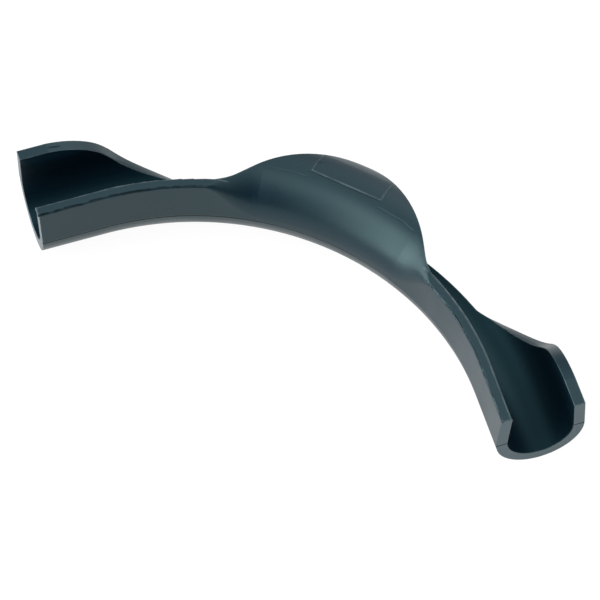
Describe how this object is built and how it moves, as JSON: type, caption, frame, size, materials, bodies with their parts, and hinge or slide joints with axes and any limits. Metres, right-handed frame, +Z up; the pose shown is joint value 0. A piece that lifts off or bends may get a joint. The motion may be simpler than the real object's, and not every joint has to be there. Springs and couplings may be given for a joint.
{
  "type": "pipe bend guide",
  "caption": "Moulded plastic guide that holds a flexible pipe in a smooth quarter bend: open troughs at the ends, a tongue over the middle.",
  "frame": {"origin": "under the middle of the guide's length and width, on the surface it rests on", "axes": "+X along the chord of the bend, +Y out through the middle of the bend, +Z up, square to the plane of the bend"},
  "size_m": [0.1502, 0.0512, 0.0217],
  "materials": {
    "bend_guide": "satin moulded, dark slate"
  },
  "bodies": {
    "root": {"bend_guide": "bend_guide"}
  },
  "joints": []
}
